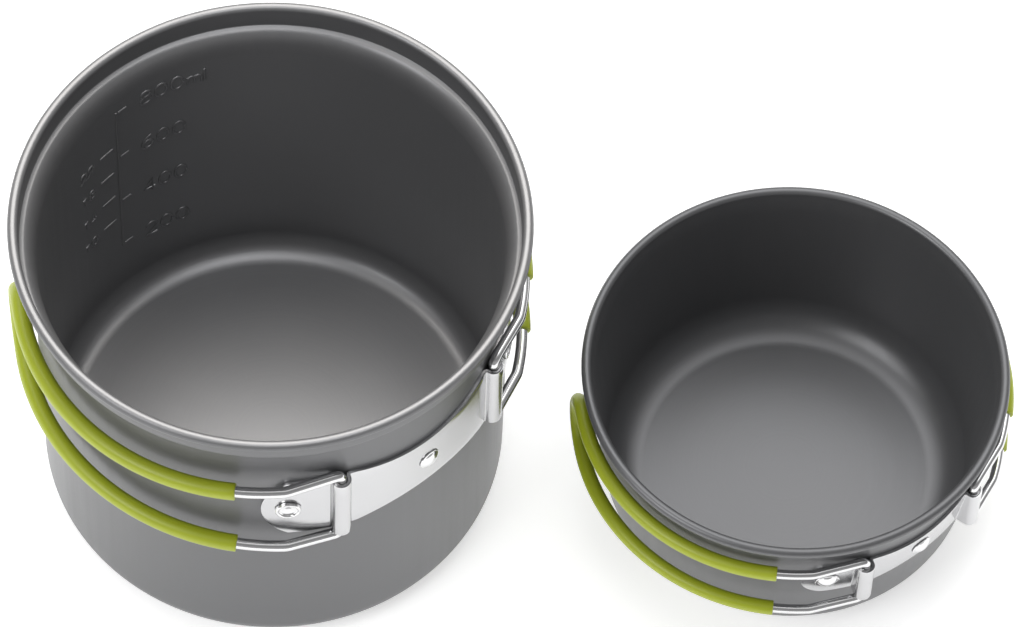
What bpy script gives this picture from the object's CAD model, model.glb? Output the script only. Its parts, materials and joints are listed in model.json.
# %% [markdown]
# # A camping pot set: two anodised pots with folding wire handles
#
# The CAD model fixes where everything is and what moves with what. This lesson builds the visible surfaces
# on top of it: each pot is turned from an outline, each bracket is bent from one strip, and each handle is
# a tube swept along a path. Everything is in metres, in the CAD's own frame.

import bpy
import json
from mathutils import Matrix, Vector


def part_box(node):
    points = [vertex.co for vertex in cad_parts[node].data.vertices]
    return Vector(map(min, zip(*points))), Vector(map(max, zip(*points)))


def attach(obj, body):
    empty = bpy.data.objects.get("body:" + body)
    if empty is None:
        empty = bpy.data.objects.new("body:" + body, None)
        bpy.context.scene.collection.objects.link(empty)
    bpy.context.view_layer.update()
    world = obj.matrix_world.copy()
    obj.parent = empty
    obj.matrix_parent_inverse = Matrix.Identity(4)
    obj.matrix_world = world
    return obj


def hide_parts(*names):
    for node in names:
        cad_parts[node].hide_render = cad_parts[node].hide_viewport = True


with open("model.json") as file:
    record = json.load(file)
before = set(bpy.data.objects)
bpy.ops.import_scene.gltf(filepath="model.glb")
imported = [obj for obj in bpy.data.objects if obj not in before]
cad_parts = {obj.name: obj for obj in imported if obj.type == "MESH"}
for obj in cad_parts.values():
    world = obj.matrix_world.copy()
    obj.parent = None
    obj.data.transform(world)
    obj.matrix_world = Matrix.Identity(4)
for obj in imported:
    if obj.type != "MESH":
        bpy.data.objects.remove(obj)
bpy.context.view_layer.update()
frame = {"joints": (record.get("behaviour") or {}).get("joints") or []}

# %% Tools for everything below
import json
import math

import bmesh
import bpy
from mathutils import Matrix, Vector

MM = 0.001
TAU = 2 * math.pi


def turned(angle):
    """A direction on the ground plane, by its angle from +X in degrees."""
    return Vector((math.cos(math.radians(angle)), math.sin(math.radians(angle)), 0))


def joint_named(name):
    return next(j for j in frame["joints"] if j["name"] == name)


# %% [markdown]
# ## The two pots' sizes
#
# A pot is its axis, its height and its rim radius, and all three can be read from the CAD boxes. What a box
# can't say, such as a sheet's thickness or a bead's radius, is a named size in millimetres. A small class
# holds them, so that both pots go through the same functions and only the numbers differ. The turn and
# reach sizes are degrees, and the taper is a slope.

# %% Sizes of both pots


class Pot:
    """One pot of the set: its place and its sizes. Lengths are given in millimetres and kept in metres."""

    def __init__(self, name, **sizes):
        self.name = name
        self.body = name + "_pot_body"
        for key, value in sizes.items():
            setattr(self, key, value if key.endswith(("turn", "reach", "taper")) else value * MM)
        low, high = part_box(name + "_pot")
        self.axis = Vector(((low.x + high.x) / 2, (low.y + high.y) / 2, 0))
        self.rim_r = (high.x - low.x) / 2
        self.height = high.z
        pins = [Vector(joint_named(f"{name}_{side}_hinge")["pos_m"]) for side in ("left", "right")]
        middle = (pins[0] + pins[1]) / 2 - self.axis
        self.bracket_turn = math.degrees(math.atan2(middle.y, middle.x))
        self.bracket_z = pins[0].z
        self.pivot_r = (pins[0] - self.axis).xy.length
        self.slope = math.atan(self.taper)

    def wall_r(self, z):
        """Outside radius of the wall at a height above the bracket's middle."""
        return self.strap_r + self.taper * z

    def bracket_frame(self):
        """Places a shape on the bracket: X outwards through its middle, Z up, origin on the pot's axis."""
        place = Matrix.Translation(self.axis + Vector((0, 0, self.bracket_z)))
        return place @ Matrix.Rotation(math.radians(self.bracket_turn), 4, "Z")


LARGE = Pot("large", strap_r=58, taper=0, sheet=1.0, floor=1.2, bead=1.3, corner=7.5, strap=0.92, half=11.75,
            waist=9.25, waist_r=81, knuckle=2.4, tab_r=14, tab_past=6.5, pivot_turn=24, rivet_turn=36.5,
            dome_r=2.7, wire=1.4, sleeve=2.15, fold_r=61.8, tip=10.5, leg=13.95, elbow=2.1, bend=6, stub=8.5,
            bend_turn=84.2, sleeve_turn=74.5, reach=98)
SMALL = Pot("small", strap_r=49.3, taper=0.12, sheet=1.0, floor=1.2, bead=1.25, corner=11, strap=0.85, half=7,
            waist=5.5, waist_r=60, knuckle=2.1, tab_r=7.2, tab_past=6.4, pivot_turn=19.5, rivet_turn=29.5,
            dome_r=2.5, wire=1.2, sleeve=1.85, fold_r=53.1, tip=8.1, leg=9.0, elbow=1.9, bend=6, stub=5.0,
            bend_turn=84.2, sleeve_turn=75.3, reach=99.7)
for pot in (LARGE, SMALL):
    print(pot.name, "rim", round(pot.rim_r, 5), "height", round(pot.height, 5), "bracket turn",
          round(pot.bracket_turn, 2), "pivot radius", round(pot.pivot_r, 5))

# %% [markdown]
# ## Shader maths as Python
#
# A finish is a small formula: a colour that drifts a little, a roughness with a grain in it. Wiring every
# Math node by hand hides the formula, so one class wraps a socket and lets Python's own operators add the
# nodes. A second class holds a node tree and has one method for every other kind of node. A third is that
# tree for one material.

# %% A socket that can be added and multiplied


class Value:
    """A number that varies over a surface. Arithmetic on it adds Math nodes."""

    def __init__(self, socket):
        self.socket = socket

    def maths(self, operation, first, second):
        tree = self.socket.id_data
        node = tree.nodes.new("ShaderNodeMath")
        node.operation = operation
        for slot, value in zip(node.inputs, (first, second)):
            if isinstance(value, Value):
                tree.links.new(value.socket, slot)
            else:
                slot.default_value = value
        return Value(node.outputs[0])

    def __add__(self, other):
        return self.maths("ADD", self, other)

    def __rsub__(self, other):
        return self.maths("SUBTRACT", other, self)

    def __mul__(self, other):
        return self.maths("MULTIPLY", self, other)

    def __gt__(self, other):
        return self.maths("GREATER_THAN", self, other)


# %% A node tree under construction


class Shading:
    """A node tree and the one node in it that everything feeds."""

    def __init__(self, tree, shader):
        self.tree, self.shader = tree, shader

    def node(self, kind, settings=(), output=0, **sockets):
        """Adds a node: its type, its settings, then its sockets' values or links. Gives back one output."""
        made = self.tree.nodes.new("ShaderNode" + kind)
        for key, value in dict(settings).items():
            if key == "stops":
                ramp = made.color_ramp.elements
                while len(ramp) < len(value):
                    ramp.new(0.5)
                for element, (place, colour) in zip(ramp, value):
                    element.position, element.color = place, colour
            else:
                setattr(made, key, value)
        for socket, value in sockets.items():
            slot = made.inputs[int(socket[1:]) if socket[0] == "_" else socket.replace("_", " ")]
            if isinstance(value, Value):
                self.tree.links.new(value.socket, slot)
            else:
                slot.default_value = value
        return Value(made.outputs[output])

    def feed(self, socket, value):
        self.tree.links.new(value.socket, self.shader.inputs[socket])


class Finish(Shading):
    """One material and its Principled shader, with the patterns that several finishes share."""

    def __init__(self, name, **constants):
        self.material = bpy.data.materials.new(name)
        self.material.use_nodes = True
        tree = self.material.node_tree
        super().__init__(tree, next(n for n in tree.nodes if n.type == "BSDF_PRINCIPLED"))
        for socket, value in constants.items():
            self.shader.inputs[socket.replace("_", " ")].default_value = value

    def place(self):
        """Where a point is on the piece, in metres from the piece's own origin."""
        return self.node("TexCoord", output="Object")

    def stretched(self, place, x, y, z):
        """That place with each axis scaled, so that a pattern comes out as a grain."""
        return self.node("Mapping", Vector=place, Scale=(x, y, z))

    def noise(self, place, scale, detail=3.0):
        return self.node("TexNoise", Vector=place, Scale=scale, Detail=detail)

    def between(self, amount, low, high):
        """A colour from low to high as amount goes from 0 to 1."""
        return self.node("Mix", {"data_type": "RGBA"}, "Result", _0=amount, _6=(*low, 1), _7=(*high, 1))

    def bump(self, height, depth):
        """Lets a height pattern tilt the surface, by that depth in metres."""
        normal = self.node("Bump", Height=height, Distance=depth, Strength=1.0)
        self.feed("Normal", normal)


print("shader tools ready")

# %% [markdown]
# ## The finishes
#
# Hard-anodised aluminium is a metal under a grey, slightly rough oxide skin: reflections are soft and the
# grey goes up and down with what it mirrors. The floor of a drawn pot keeps faint rings from the press, and
# the wall keeps faint upright draw lines. Both are far too fine to model, so they live in the roughness and
# in a very shallow bump.

# %% Hard-anodised aluminium
FLOOR_TOP = 2.5 * MM


def anodised():
    finish = Finish("hard_anodised_aluminium", Metallic=0.52)
    place = finish.place()
    cloud = finish.noise(place, 22.0)
    grit = finish.noise(place, 2600.0, 2.0)
    draw_lines = finish.noise(finish.stretched(place, 420, 420, 14), 1.0, 4.0)
    height = finish.node("SeparateXYZ", output="Z", Vector=place)
    radius = finish.node("VectorMath", {"operation": "LENGTH"}, "Value", _0=finish.stretched(place, 1, 1, 0))
    rings = finish.node("TexNoise", {"noise_dimensions": "1D"}, W=radius, Scale=1500.0, Detail=3.0)
    on_wall = height > FLOOR_TOP
    grain = rings * (1.0 - on_wall) + draw_lines * on_wall
    shade = cloud * 0.5 + grain * 0.35 + grit * 0.15
    finish.feed("Base Color", finish.between(shade, (0.130, 0.133, 0.140), (0.164, 0.163, 0.166)))
    finish.feed("Roughness", grit * 0.08 + cloud * 0.06 + grain * 0.10 + 0.25)
    finish.bump(grit * 0.5 + grain * 0.5, 0.000012)
    return finish.material


ANODISED = anodised()

# %% [markdown]
# The bracket is stamped from stainless sheet and tumbled bright: a mirror with a fine haze, and a grain
# that runs along the strap. The wire is drawn and polished, so it is smoother, with faint lines along its
# length.

# %% Stainless steel, stamped and drawn


def stainless(name, colour, roughness, grain, depth):
    finish = Finish(name, Metallic=1.0)
    place = finish.place()
    lines = finish.noise(finish.stretched(place, *grain), 1.0, 3.0)
    smudge = finish.noise(place, 90.0)
    darker = tuple(c * 0.9 for c in colour)
    finish.feed("Base Color", finish.between(smudge * 0.6 + lines * 0.4, darker, colour))
    finish.feed("Roughness", lines * 0.08 + smudge * 0.06 + (roughness - 0.07))
    finish.bump(lines, depth)
    return finish.material


STRAP_STEEL = stainless("stamped_stainless_strap", (0.60, 0.60, 0.61), 0.18, (180, 180, 2400), 0.000006)
WIRE_STEEL = stainless("drawn_stainless_wire", (0.72, 0.72, 0.725), 0.11, (700, 700, 1900), 0.000004)
RIVET_STEEL = stainless("pressed_stainless_rivet", (0.76, 0.76, 0.765), 0.12, (900, 900, 900), 0.000006)

# %% [markdown]
# The sleeves are silicone: an opaque lime green with a satin, finely pored skin. A low coat gives the
# narrow highlight along the top of the tube.

# %% Green silicone


def silicone():
    finish = Finish("lime_silicone", Coat_Roughness=0.25, Specular_IOR_Level=0.45)
    place = finish.place()
    cloud = finish.noise(place, 60.0)
    pores = finish.noise(place, 3200.0, 2.0)
    shade = cloud * 0.7 + pores * 0.3
    finish.feed("Base Color", finish.between(shade, (0.345, 0.405, 0.010), (0.400, 0.465, 0.016)))
    finish.feed("Roughness", cloud * 0.10 + pores * 0.10 + 0.36)
    finish.feed("Coat Weight", cloud * 0.10 + 0.20)
    finish.bump(pores, 0.00002)
    return finish.material


SILICONE = silicone()
print("finishes", [m.name for m in (ANODISED, STRAP_STEEL, WIRE_STEEL, RIVET_STEEL, SILICONE)])

# %% [markdown]
# ## Meshes from outlines and paths
#
# Three ways of making a mesh are enough here. A lathe turns an outline round an axis. A sweep carries a
# circle along a path. A strip bends a flat blank and gives it thickness. Each ends in the same step: make
# the object, give it its finish, smooth it, and let it ride on its CAD body.

# %% One finished piece


def piece(name, vertices, faces, finish, body, slot, stands_for=(), origin=None, sharp=40):
    """A mesh object in its place, smooth except at edges sharper than an angle."""
    mesh = bpy.data.meshes.new(name)
    origin = Vector((0, 0, 0)) if origin is None else origin
    mesh.from_pydata([Vector(v) - origin for v in vertices], [], faces)
    work = bmesh.new()
    work.from_mesh(mesh)
    bmesh.ops.remove_doubles(work, verts=work.verts, dist=1e-7)
    bmesh.ops.recalc_face_normals(work, faces=work.faces)
    for face in work.faces:
        face.smooth = True
    limit = math.radians(sharp)
    for edge in work.edges:
        edge.smooth = len(edge.link_faces) != 2 or edge.calc_face_angle(0) < limit
    work.to_mesh(mesh)
    work.free()
    mesh.materials.append(finish)
    made = bpy.data.objects.new(name, mesh)
    made.location = origin
    bpy.context.scene.collection.objects.link(made)
    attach(made, body)
    if stands_for:
        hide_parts(*stands_for)
    return made


# %% Arcs and lathes


def arc(x, y, r, start, end, steps):
    """Points on an arc, both ends included. Angles in degrees."""
    angles = [math.radians(start + (end - start) * i / steps) for i in range(steps + 1)]
    return [(x + r * math.cos(a), y + r * math.sin(a)) for a in angles]


def lathe(outline, steps, place):
    """Turns (radius, height) points round Z and places the result. Points on the axis close the ends."""
    vertices, rings = [], []
    for r, z in outline:
        if r < 1e-7:
            rings.append([len(vertices)])
            vertices.append(place @ Vector((0, 0, z)))
        else:
            rings.append(list(range(len(vertices), len(vertices) + steps)))
            for i in range(steps):
                a = TAU * i / steps
                vertices.append(place @ Vector((r * math.cos(a), r * math.sin(a), z)))
    faces = []
    for low, high in zip(rings, rings[1:]):
        for i in range(steps):
            j = (i + 1) % steps
            corners = [low[i % len(low)], low[j % len(low)], high[j % len(high)], high[i % len(high)]]
            corner_set = list(dict.fromkeys(corners))
            if len(corner_set) > 2:
                faces.append(corner_set)
    return vertices, faces


# %% [markdown]
# ## The pots
#
# Each pot is one sheet, drawn deep and rolled over at the rim. Its outline goes up the inside, round the
# bead and down the outside. The tall pot widens near the top over a rounded shelf, where a lid would sit.
# The low pot has plain sloping walls. The bead's cut edge tucks under against the wall, which leaves the
# fine dark line below the rim.

# %% The outlines of both pots
LONGEST_FACE = 6 * MM
CORNER_STEPS, SHELF_STEPS, BEAD_STEPS = 14, 18, 26

# The bead stops short of a full turn, and its cut edge stands a little off the wall.
BEAD_END, EDGE_GAP, EDGE_DROP = -62, 0.12 * MM, 0.55

# The tall pot's shelf, inside. The depths are below the rim, and the level angle is left off its quarter
# oval.
SHELF_DEPTH, LIP_DEPTH, LIP_INSET, LEVEL = 14.5 * MM, 6.9 * MM, 0.3 * MM, 12
INNER_TURN_R, INNER_TURN_Z = 0.4 * MM, 0.35 * MM

# The same shelf outside, against the inside.
OUTER_DROP, OUTER_LIP_DROP, OUTER_LIP = 0.5 * MM, 0.8 * MM, 0.75 * MM
OUTER_TURN_R, OUTER_TURN_IN, OUTER_TURN_Z = 0.6 * MM, 0.4 * MM, 0.1 * MM

# The low pot's wall is measured at FOOT_Z, and its neck lies under the bead.
FOOT_Z, NECK_DEPTH = 10 * MM, 2.1 * MM


def shelf(wall_r, lip_r, low_z, high_z):
    """A quarter oval from an upright wall up and out to a nearly level lip."""
    angles = [math.radians(90 - (90 - LEVEL) * i / SHELF_STEPS) for i in range(SHELF_STEPS + 1)]
    return [(lip_r - (lip_r - wall_r) * math.sin(a), low_z + (high_z - low_z) * math.cos(a)) for a in angles]


def rim_bead(pot, inner_r):
    """The rolled rim, from its inside over the top and round to where its edge tucks under."""
    x, z = pot.rim_r - pot.bead, pot.height - pot.bead
    edge = (inner_r + pot.sheet + EDGE_GAP, z - EDGE_DROP * pot.bead)
    return arc(x, z, pot.bead, 180, BEAD_END, BEAD_STEPS) + [edge]


def large_outline():
    pot = LARGE
    inside, foot = pot.strap_r - pot.sheet, pot.strap_r - pot.corner
    collar = pot.rim_r - 2 * pot.bead
    corner = pot.corner - pot.sheet
    low, lip = pot.height - SHELF_DEPTH, pot.height - LIP_DEPTH
    outer_shelf = shelf(pot.strap_r, collar + OUTER_LIP, low - OUTER_DROP, lip - OUTER_LIP_DROP)
    return (
        [(0, pot.floor)]
        + arc(foot, pot.floor + corner, corner, -90, 0, CORNER_STEPS)
        + shelf(inside, collar - LIP_INSET, low, lip)
        + arc(collar - INNER_TURN_R, lip + INNER_TURN_Z, INNER_TURN_R, -50, 0, 4)
        + rim_bead(pot, collar)
        + arc(collar + OUTER_TURN_IN, lip - OUTER_TURN_Z, OUTER_TURN_R, 0, -70, 5)
        + outer_shelf[::-1]
        + arc(foot, pot.corner, pot.corner, 0, -90, CORNER_STEPS)
        + [(foot - LONGEST_FACE, 0), (0, 0)]
    )


def small_outline():
    pot = SMALL
    neck = pot.height - NECK_DEPTH
    slope = math.degrees(pot.slope)
    foot = pot.wall_r(FOOT_Z - pot.bracket_z) - pot.corner * math.cos(pot.slope)
    corner = pot.corner - pot.sheet
    neck_r = pot.wall_r(neck - pot.bracket_z)
    return (
        [(0, pot.floor)]
        + arc(foot, pot.floor + corner, corner, -90, -slope, CORNER_STEPS)
        + [(neck_r - pot.sheet, neck)]
        + rim_bead(pot, neck_r - pot.sheet)
        + [(neck_r, neck)]
        + arc(foot, pot.corner, pot.corner, -slope, -90, CORNER_STEPS)
        + [(foot - LONGEST_FACE, 0), (0, 0)]
    )


# %% Turn both pots
POT_SIDES = 160


def with_rings(outline, longest):
    """The same outline with its long stretches divided, so that no face is much longer than the next."""
    points = [outline[0]]
    for (r0, z0), (r1, z1) in zip(outline, outline[1:]):
        parts = max(1, math.ceil(math.hypot(r1 - r0, z1 - z0) / longest))
        points += [(r0 + (r1 - r0) * i / parts, z0 + (z1 - z0) * i / parts) for i in range(1, parts + 1)]
    return points


for pot, outline in ((LARGE, large_outline()), (SMALL, small_outline())):
    vertices, faces = lathe(with_rings(outline, LONGEST_FACE), POT_SIDES, Matrix.Translation(pot.axis))
    shell = piece(f"{pot.name}_pot_shell", vertices, faces, ANODISED, pot.body, "pot_metal",
                  [f"{pot.name}_pot"], pot.axis)
    print(shell.name, len(faces), "faces")

# %% [markdown]
# ## The brackets
#
# A bracket is one strip of sheet, bent round the wall. Seen from above it follows the wall, rises into a
# narrow half tube at each knuckle to hold the wire's ends, and comes back to the wall. Seen from the front
# it has a waist in the middle and round tabs at its ends. So the strip is described twice: a route seen
# from above, and a half height that changes along it. The solid comes from the route, offset to both sides,
# with its edges rounded over.

# %% The strip's route and height
FILLET_R, STRAP_GAP, TAB_TIP = 0.8 * MM, 0.03 * MM, 0.02 * MM
MIDDLE_STEPS, NECK_STEPS, TAB_STEPS = 14, 4, 12


def knuckle_route(pot):
    """One knuckle from above: (sideways, outwards) from the strip's middle line, left foot to right foot."""
    r = pot.knuckle - pot.strap / 2
    out = pot.pivot_r - (pot.strap_r + pot.strap / 2)
    left = arc(-r - FILLET_R, FILLET_R, FILLET_R, -90, 0, 6)
    over = arc(0, out, r, 180, 0, 18)
    return left + over + [(-x, y) for x, y in reversed(left)]


def tab_column(pot, t):
    """(sideways, half height) on a tab's round end, from the tab's straight edge at t 0 to its tip at t 1."""
    start = math.asin(math.sqrt(1 - (pot.half / pot.tab_r) ** 2))
    a = start + (math.pi / 2 - start) * t
    return pot.tab_r * math.sin(a), pot.tab_r * math.cos(a)


def half_route(pot):
    """Columns of the strip from its middle to its right end: (angle in radians, outwards, half height)."""
    middle_r = pot.strap_r + pot.strap / 2
    knuckle = math.radians(pot.pivot_turn)
    bump = knuckle_route(pot)
    columns = []
    for i in range(MIDDLE_STEPS):
        angle = (knuckle + bump[0][0] / middle_r) * i / MIDDLE_STEPS
        x = middle_r * math.sin(angle)
        waist = pot.waist + pot.waist_r - math.sqrt(pot.waist_r**2 - x * x)
        columns.append((angle, 0.0, min(pot.half, waist)))
    columns += [(knuckle + x / middle_r, out, pot.half) for x, out in bump]
    tab_middle = math.radians(pot.rivet_turn) - (pot.tab_r - pot.tab_past) / middle_r
    tab = [tab_column(pot, i / TAB_STEPS) for i in range(TAB_STEPS + 1)]
    first = tab_middle + tab[0][0] / middle_r
    last = columns[-1][0]
    columns += [(last + (first - last) * i / NECK_STEPS, 0.0, pot.half) for i in range(1, NECK_STEPS)]
    columns += [(tab_middle + x / middle_r, 0.0, max(h, TAB_TIP)) for x, h in tab]
    return columns


def strip_surface(pot, rows):
    """The strip's middle surface as a grid of points in the bracket's frame, column by column."""
    right = half_route(pot)
    columns = [(-a, out, h) for a, out, h in reversed(right[1:])] + right
    gap = pot.pivot_r - pot.strap_r - pot.strap / 2
    grid = []
    for angle, out, half in columns:
        upright = min(1.0, out / gap)
        grid.append([])
        for k in range(rows + 1):
            z = half * (2 * k / rows - 1)
            r = pot.strap_r + pot.strap / 2 + STRAP_GAP + out + pot.taper * z * (1 - upright)
            grid[-1].append(Vector((r * math.cos(angle), r * math.sin(angle), z)))
    return grid


# %% Bend both brackets
STRIP_ROWS = 8
EDGE_ROUND, EDGE_STEPS, EDGE_ANGLE = 0.22 * MM, 3, 50


def bracket(pot):
    place = pot.bracket_frame()
    grid = strip_surface(pot, STRIP_ROWS)
    vertices = [place @ v for column in grid for v in column]
    rows = len(grid[0])
    faces = [
        (c * rows + k, (c + 1) * rows + k, (c + 1) * rows + k + 1, c * rows + k + 1)
        for c in range(len(grid) - 1)
        for k in range(rows - 1)
    ]
    made = piece(f"{pot.name}_bracket_strap", vertices, faces, STRAP_STEEL, pot.body, "bracket_steel",
                 [f"{pot.name}_bracket"], pot.axis)
    solid = made.modifiers.new("sheet thickness", "SOLIDIFY")
    solid.thickness, solid.offset, solid.use_even_offset = pot.strap, 0.0, True
    bevel = made.modifiers.new("rounded edges", "BEVEL")
    bevel.width, bevel.segments = EDGE_ROUND, EDGE_STEPS
    bevel.limit_method, bevel.angle_limit = "ANGLE", math.radians(EDGE_ANGLE)
    return made


for pot in (LARGE, SMALL):
    print(bracket(pot).name)

# %% [markdown]
# ## The rivets
#
# Three rivets hold each bracket. Outside they show a formed head, and inside the pot a low button. The tall
# pot's outer rivets have a flat head with a raised ring, and the others are domed. A lathe makes each one
# lying along its own axis, square to the wall.

# %% Rivet outlines
RIVET_GAP = 0.08 * MM
SHANK_R, BUTTON_R, BUTTON_H = 1.5 * MM, 2.6 * MM, 0.8 * MM
RING_R, RING_H, RING_ROUND = 3.25 * MM, 0.92 * MM, 0.45 * MM
DOME_H, DOME_LIFT = 1.05 * MM, 0.3 * MM
BRIM = {"plain": 0.25 * MM, "brim": 0.55 * MM}


def dome(r, height, base, steps, way=1):
    """A shallow dome from its rim to its top. way is 1 for outwards and -1 for inwards."""
    ball = (r * r + height * height) / (2 * height)
    spread = math.degrees(math.asin(r / ball))
    points = arc(0, 0, ball, 90 - spread, 90, steps)
    return [(max(x, 0), base + way * (y - ball + height)) for x, y in points]


def ring_head(outside):
    """A flat head with a raised ring round it and a shallow dish in the middle."""
    top = outside + RING_H
    edge = [(RING_R - 0.1 * MM, outside), (RING_R, outside + 0.12 * MM), (RING_R, top - RING_ROUND)]
    over = arc(RING_R - 0.5 * MM, top - RING_ROUND, RING_ROUND, 0, 180, 10)
    dish = [(RING_R - 1.15 * MM, top - 0.62 * MM), (0.9 * MM, top - 0.66 * MM)]
    return edge + over + dish + [(0.5 * MM, top - 0.8 * MM), (0, top - 0.85 * MM)]


def domed_head(pot, outside, brim):
    """A dome on a thin brim."""
    edge = pot.dome_r + brim
    side = [(edge, outside), (edge + 0.04 * MM, outside + 0.14 * MM), (edge - 0.06 * MM, outside + 0.28 * MM)]
    return side + dome(pot.dome_r, DOME_H, outside + DOME_LIFT, 12)


def rivet_outline(pot, kind):
    """One rivet from the button's middle inside the pot, along the shank and over the head."""
    inside, outside = -pot.sheet - RIVET_GAP, pot.strap + RIVET_GAP
    button = dome(BUTTON_R, BUTTON_H, inside, 8, -1)[::-1] + [(SHANK_R, inside), (SHANK_R, outside)]
    return button + (ring_head(outside) if kind == "ring" else domed_head(pot, outside, BRIM[kind]))


# %% Set all six rivets


def rivet(pot, side, turn, kind):
    place = (
        pot.bracket_frame()
        @ Matrix.Rotation(math.radians(turn), 4, "Z")
        @ Matrix.Translation((pot.strap_r, 0, 0))
        @ Matrix.Rotation(math.pi / 2 + pot.slope, 4, "Y")
    )
    vertices, faces = lathe(rivet_outline(pot, kind), 48, place)
    return piece(f"{pot.name}_{side}_rivet_head", vertices, faces, RIVET_STEEL, pot.body, "rivet_steel",
                 [f"{pot.name}_{side}_rivet"], place.translation.copy(), 35)


for pot in (LARGE, SMALL):
    outer = "ring" if pot is LARGE else "brim"
    rivet(pot, "centre", 0, "plain")
    rivet(pot, "left", -pot.rivet_turn, outer)
    rivet(pot, "right", pot.rivet_turn, outer)
print("six rivets set")

# %% [markdown]
# ## The handles
#
# A handle is one wire bent into a long loop. From the pivot, each leg leaves the knuckle through a tight
# elbow, runs straight to a gentle bend, and then follows the pot's wall. The two legs close up towards the
# tip and meet in a half ring. The route is worked out once for the upper leg, in a plane that is tilted a
# little, and the lower leg mirrors it. Sweeping a circle along the route gives the wire, and a wider circle
# over part of it gives the sleeve.

# %% The route of one leg
UNCOVERED = 180
STUB_STEPS, ELBOW_STEPS, STRAIGHT_STEPS, BEND_STEPS, ROUND_STEPS, TIP_STEPS = 4, 12, 8, 6, 56, 12


def leg_route(pot):
    """Points of the upper leg from the wire's end in the knuckle to the loop's tip.

    X points from the pot's axis to the tip and Z is up. With each point comes how far round the pot it is, in
    degrees from the tip, so that the sleeve knows where to stop. It never covers what comes before the wall.
    """
    turn = math.radians(pot.reach)
    pin = Vector((pot.pivot_r * math.cos(turn), pot.pivot_r * math.sin(turn)))
    tilt = math.atan((pot.leg - pot.tip) / (pot.fold_r - pin.x))
    rise = pot.tip + pot.fold_r * math.sin(tilt)
    flat_pin = Vector((pin.x / math.cos(tilt), pin.y))
    bend_turn = math.radians(pot.bend_turn)
    bend_at = Vector((math.cos(bend_turn), math.sin(bend_turn))) * (pot.fold_r - pot.bend)
    to_pin = flat_pin - bend_at
    bend_end = math.atan2(to_pin.y, to_pin.x) - math.acos(pot.bend / to_pin.length)
    run = bend_at + Vector((math.cos(bend_end), math.sin(bend_end))) * pot.bend - flat_pin
    way = run.normalized()
    slope = math.asin(-way.x * math.sin(tilt))
    heading = math.atan2(way.y, way.x * math.cos(tilt))
    cut = pot.elbow * (1 - math.sin(slope)) / math.cos(slope)
    elbow_z = rise - flat_pin.x * math.sin(tilt) - cut
    stub = [Vector((pin.x, pin.y, elbow_z - pot.stub * (1 - i / STUB_STEPS))) for i in range(STUB_STEPS)]
    points = [(p, UNCOVERED) for p in stub]
    out = Vector((math.cos(heading), math.sin(heading), 0))
    middle = Vector((pin.x, pin.y, elbow_z)) + out * pot.elbow
    last = math.pi / 2 - slope
    for i in range(ELBOW_STEPS + 1):
        a = last * i / ELBOW_STEPS
        p = middle - out * pot.elbow * math.cos(a) + Vector((0, 0, pot.elbow * math.sin(a)))
        points.append((p, UNCOVERED))

    def lifted(x, y):
        """A point of the tilted plane, in the handle's frame."""
        return Vector((x * math.cos(tilt), y, rise - x * math.sin(tilt)))

    for i in range(1, STRAIGHT_STEPS):
        p = flat_pin + way * (cut + (run.length - cut) * i / STRAIGHT_STEPS)
        points.append((lifted(p.x, p.y), UNCOVERED))
    for x, y in arc(bend_at.x, bend_at.y, pot.bend, math.degrees(bend_end), pot.bend_turn, BEND_STEPS):
        points.append((lifted(x, y), UNCOVERED))
    for i in range(1, ROUND_STEPS):
        a = pot.bend_turn * (1 - i / ROUND_STEPS)
        x, y = pot.fold_r * math.cos(math.radians(a)), pot.fold_r * math.sin(math.radians(a))
        points.append((lifted(x, y), a))
    tip_x = pot.fold_r * math.cos(tilt)
    for i in range(TIP_STEPS + 1):
        a = math.pi / 2 * i / TIP_STEPS
        points.append((Vector((tip_x, -pot.tip * math.sin(a), pot.tip * math.cos(a))), 0))
    return points


def loop_route(pot, side):
    """The whole loop in the set's own frame, from the upper end through the tip to the lower end."""
    upper = leg_route(pot)
    lower = [(Vector((p.x, p.y, -p.z)), a) for p, a in reversed(upper[:-1])]
    place = pot.bracket_frame()
    if side == "right":
        place = place @ Matrix.Scale(-1, 4, Vector((0, 1, 0)))
    place = place @ Matrix.Rotation(math.radians(-pot.pivot_turn - pot.reach), 4, "Z")
    return [(place @ p, a) for p, a in upper + lower]


# %% Sweep a circle along a route


def sweep(points, radii, around):
    """A tube of changing radius along a route, without twist, closed at both ends."""
    tangents = []
    for i, _ in enumerate(points):
        before, after = points[max(i - 1, 0)], points[min(i + 1, len(points) - 1)]
        tangents.append((after - before).normalized())
    side = tangents[0].orthogonal().normalized()
    vertices, faces = [], []
    for i, (p, t, r) in enumerate(zip(points, tangents, radii)):
        side = (side - t * side.dot(t)).normalized()
        up = t.cross(side)
        for k in range(around):
            a = TAU * k / around
            vertices.append(p + (side * math.cos(a) + up * math.sin(a)) * r)
        if i:
            base = (i - 1) * around
            for k in range(around):
                j = (k + 1) % around
                faces.append((base + k, base + j, base + around + j, base + around + k))
    faces.append(tuple(reversed(range(around))))
    faces.append(tuple(range(len(vertices) - around, len(vertices))))
    return vertices, faces


def eased_ends(points, radius, rounding, steps=5):
    """The route with extra points at its ends, and the radii that round those ends over."""
    angles = [math.pi / 2 * i / steps for i in range(steps)]
    grow = [radius - rounding + rounding * math.sin(a) for a in angles]
    first, last = (points[1] - points[0]).normalized(), (points[-2] - points[-1]).normalized()
    head = [points[0] + first * rounding * (1 - math.cos(a)) for a in angles]
    tail = [points[-1] + last * rounding * (1 - math.cos(a)) for a in angles]
    body = [p for p in points if min((p - points[0]).length, (p - points[-1]).length) > rounding]
    return head + body + tail[::-1], grow + [radius] * len(body) + grow[::-1]


# %% Both loops of both pots
WIRE_ROUND, SLEEVE_ROUND = 0.35 * MM, 0.3 * MM
WIRE_SIDES, SLEEVE_SIDES = 24, 32


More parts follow.
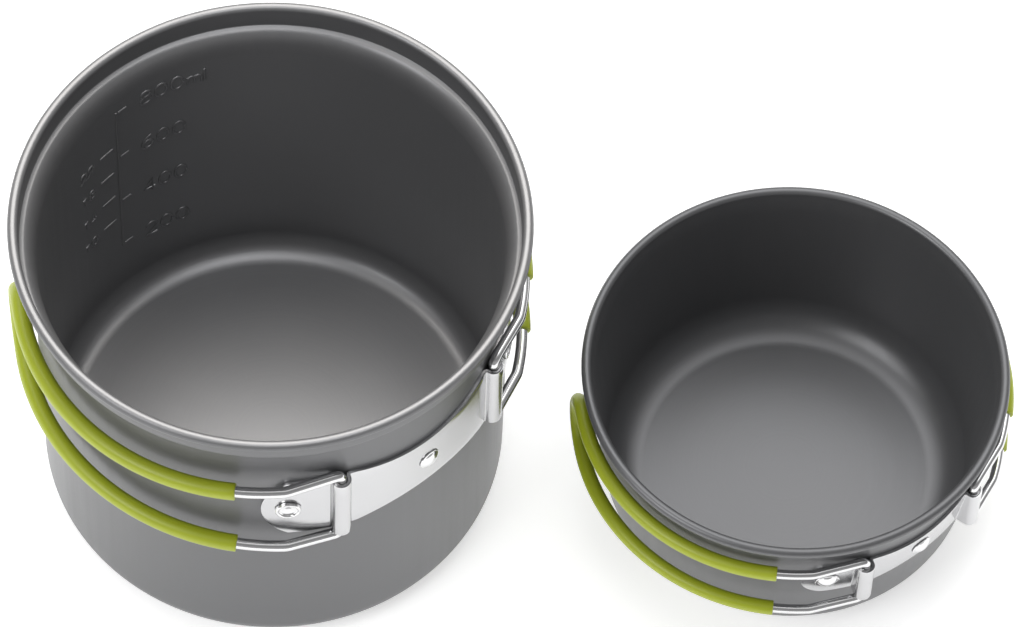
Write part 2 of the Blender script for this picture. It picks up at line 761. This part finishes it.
def handle(pot, side):
    body = f"{pot.name}_{side}_handle_body"
    route = loop_route(pot, side)
    middle = sum((p for p, _ in route), Vector()) / len(route)
    points, radii = eased_ends([p for p, _ in route], pot.wire, WIRE_ROUND)
    wire = piece(f"{pot.name}_{side}_handle_wire", *sweep(points, radii, WIRE_SIDES), WIRE_STEEL, body,
                 "wire_steel", [f"{pot.name}_{side}_handle"], middle)
    covered = [p for p, a in route if a <= pot.sleeve_turn]
    points, radii = eased_ends(covered, pot.sleeve, SLEEVE_ROUND)
    piece(f"{pot.name}_{side}_handle_sleeve", *sweep(points, radii, SLEEVE_SIDES), SILICONE, body,
          "sleeve_rubber", [f"{pot.name}_{side}_sleeve"], middle)
    return wire


for pot in (LARGE, SMALL):
    for side in ("left", "right"):
        print(handle(pot, side).name)

# %% [markdown]
# ## The scale inside the tall pot
#
# A volume scale is pressed into the tall pot's wall from outside, so it stands up a little inside: an
# upright line, short ticks with numerals every 200 ml on its right, and longer ticks on its left. Each
# stroke is a thin bar sunk most of the way into the wall. The numerals are drawn from lines and ovals, so
# there is no font in the file.

# %% Strokes for the numerals
ADVANCE, NARROW_ADVANCE = 0.85, 0.4


def oval(x, y, rx, ry, start=0, end=360):
    return [(x + rx * c, y + ry * s) for c, s in arc(0, 0, 1, start, end, 16)]


STROKES = {
    "0": [oval(0.31, 0.5, 0.31, 0.5)],
    "1": [[(0.12, 0.8), (0.36, 1), (0.36, 0)]],
    "2": [oval(0.31, 0.69, 0.31, 0.31, 170, -35) + [(0, 0), (0.62, 0)]],
    "4": [[(0.62, 0.3), (0, 0.3), (0.46, 1), (0.46, 0)]],
    "6": [oval(0.31, 0.3, 0.31, 0.3), oval(0.62, 0.3, 0.62, 0.7, 100, 180)],
    "8": [oval(0.31, 0.27, 0.31, 0.27), oval(0.31, 0.77, 0.26, 0.23)],
    "m": [[(0, 0), (0, 0.6)], oval(0.17, 0.43, 0.17, 0.17, 180, 0) + [(0.34, 0)],
          oval(0.51, 0.43, 0.17, 0.17, 180, 0) + [(0.68, 0)]],
    "l": [[(0, 0), (0, 1)]],
}


def numeral_strokes(text, x, z, height):
    """Strokes of a few characters, starting at x, with their foot at z. Sizes in metres along the wall."""
    strokes = []
    for character in text:
        strokes += [[(x + u * height, z + v * height) for u, v in stroke] for stroke in STROKES[character]]
        x += height * (NARROW_ADVANCE if character == "l" else ADVANCE)
    return strokes


# %% Press the scale into the wall
STROKE_R, STROKE_SUNK, STROKE_ROUND, STROKE_SIDES = 0.40 * MM, 0.08 * MM, 0.2 * MM, 10

# Each column: its texts, the first tick above the foot, the distance between ticks, a tick's two ends, and
# the numerals' left edge, drop below the tick and height. All in millimetres.
SCALE_COLUMNS = (
    (("200", "400", "600", "800ml"), 0.6, 20.35, (0.6, 3.4), (7.6, 3.6, 5.2)),
    (("10", "14", "18", "22"), 14.3, 11, (-6.2, -1.6), (-13.6, 2.4, 3.4)),
)


def pressed_scale(line_turn, foot, head):
    """The whole scale as one mesh. line_turn is where its upright line stands, in degrees from +X."""
    pot = LARGE
    inside = pot.strap_r - pot.sheet
    strokes = [[(0, foot), (0, head)]]
    for texts, first, apart, (start, end), (left, drop, tall) in SCALE_COLUMNS:
        for count, text in enumerate(texts):
            z = foot + first * MM + count * apart * MM
            strokes.append([(start * MM, z), (end * MM, z)])
            strokes += numeral_strokes(text, left * MM, z - drop * MM, tall * MM)
    vertices, faces = [], []
    for stroke in strokes:
        route = []
        for x, z in stroke:
            angle = line_turn - math.degrees(x / inside)
            route.append(pot.axis + turned(angle) * (inside + STROKE_SUNK) + Vector((0, 0, z)))
        points, radii = eased_ends(route, STROKE_R, STROKE_ROUND, 3)
        tube, sides = sweep(points, radii, STROKE_SIDES)
        faces += [tuple(i + len(vertices) for i in face) for face in sides]
        vertices += tube
    return vertices, faces


vertices, faces = pressed_scale(line_turn=135.5, foot=25 * MM, head=87.2 * MM)
piece("large_pot_scale", vertices, faces, ANODISED, LARGE.body, "pot_metal", origin=LARGE.axis)
print("scale", len(faces), "faces")

# %% [markdown]
# ## The camera, the floor and the light
#
# The set is seen from above and in front through a long lens, so circles look like even ellipses. The light
# is broad and soft. The tall pot is deep, so its metal gets two softboxes of its own, and flags keep them
# off everything else.

# %% Camera
PITCH, ROLL, DISTANCE = math.radians(59.0), math.radians(2.5), 1.6
LENS, SENSOR = 227.5, 36
NEAR, FAR = 0.1, 20
TARGET = Vector((0.0591, 0.0039, 0.0596))

camera_data = bpy.data.cameras.new("camera")
camera_data.lens, camera_data.sensor_width = LENS, SENSOR
camera_data.clip_start, camera_data.clip_end = NEAR, FAR
camera = bpy.data.objects.new("camera", camera_data)
bpy.context.scene.collection.objects.link(camera)
forward = Vector((0, math.cos(PITCH), -math.sin(PITCH)))
level_up = Vector((0, math.sin(PITCH), math.cos(PITCH)))
level_right = Vector((1, 0, 0))
right = level_right * math.cos(ROLL) + level_up * math.sin(ROLL)
up = -level_right * math.sin(ROLL) + level_up * math.cos(ROLL)
camera.matrix_world = Matrix.Translation(TARGET - forward * DISTANCE) @ Matrix(
    (right, up, -forward)).transposed().to_4x4()
bpy.context.scene.camera = camera

# %% [markdown]
# What the metal mirrors makes its look. The sky has one broad glow, high and a little behind, which fills
# the pots' floors. It is dark near the horizon, which draws the dark lines along the wires, the beads and
# the shelf. The paper under the set is white, and a little light of its own keeps the shadows on it faint.

# %% Sky
GLOW_FROM = (0, 0.45, 0.89)
SKY_STOPS = [(0.0, 0.13), (0.35, 0.08), (0.72, 0.16), (0.88, 0.50), (0.96, 0.95), (1.0, 1.0)]
SKY_STRENGTH = 3.0

scene = bpy.context.scene
scene.view_settings.view_transform = "Standard"
scene.world = bpy.data.worlds.new("studio_sky")
scene.world.use_nodes = True
sky = Shading(scene.world.node_tree, scene.world.node_tree.nodes["Background"])
glow = sky.node("VectorMath", {"operation": "DOT_PRODUCT"}, "Value",
                _0=sky.node("TexCoord", output="Generated"), _1=GLOW_FROM)
stops = [(at, (v, v, v, 1)) for at, v in SKY_STOPS]
sky.feed("Color", sky.node("ValToRGB", {"stops": stops}, "Color", Fac=glow))
sky.shader.inputs["Strength"].default_value = SKY_STRENGTH

# %% Paper
PAPER_HALF, PAPER_DROP, PAPER_GLOW = 6.0, 0.4 * MM, 0.50
corners = [(x * PAPER_HALF, y * PAPER_HALF, -PAPER_DROP) for x, y in ((-1, -1), (1, -1), (1, 1), (-1, 1))]
paper_mesh = bpy.data.meshes.new("studio_paper")
paper_mesh.from_pydata(corners, [], [(0, 1, 2, 3)])
paper = Finish("studio_paper", Roughness=0.9, Emission_Color=(1, 1, 1, 1), Emission_Strength=PAPER_GLOW)
cloud = paper.noise(paper.place(), 3.0)
paper.feed("Base Color", paper.between(cloud, (0.93, 0.93, 0.93), (0.96, 0.96, 0.96)))
paper_mesh.materials.append(paper.material)
studio_paper = bpy.data.objects.new("studio_paper", paper_mesh)
scene.collection.objects.link(studio_paper)

# %% Softboxes


def softbox(name, place, size, power, only=(), colour=(1, 1, 1)):
    """A soft lamp aimed at the set. only names the pieces it lights, as if flags kept it off the rest."""
    lamp = bpy.data.lights.new(name, "AREA")
    lamp.shape, lamp.size, lamp.size_y, lamp.energy = "RECTANGLE", size[0], size[1], power
    lamp.color = colour
    made = bpy.data.objects.new(name, lamp)
    made.location = place
    made.rotation_mode = "QUATERNION"
    made.rotation_quaternion = (TARGET - Vector(place)).to_track_quat("-Z", "Y")
    scene.collection.objects.link(made)
    if only:
        lit = bpy.data.collections.new(name + "_lights")
        for piece_name in only:
            lit.objects.link(bpy.data.objects[piece_name])
        made.light_linking.receiver_collection = lit


TALL_POT = ["large_pot_shell", "large_pot_scale"]
softbox("softbox_left", place=(-1.2, -0.9, 1.5), size=(1.0, 1.0), power=15)
softbox("softbox_tall_pot", place=(-0.05, 0.66, 1.15), size=(1.5, 1.1), power=27, only=TALL_POT,
        colour=(1.0, 0.955, 0.89))
softbox("softbox_tall_pot_front", place=(0.15, -0.30, 1.20), size=(0.7, 0.7), power=5.5, only=TALL_POT)
print("sky, paper and softbox set")

# %% Write the sizes and finish
bpy.context.view_layer.update()
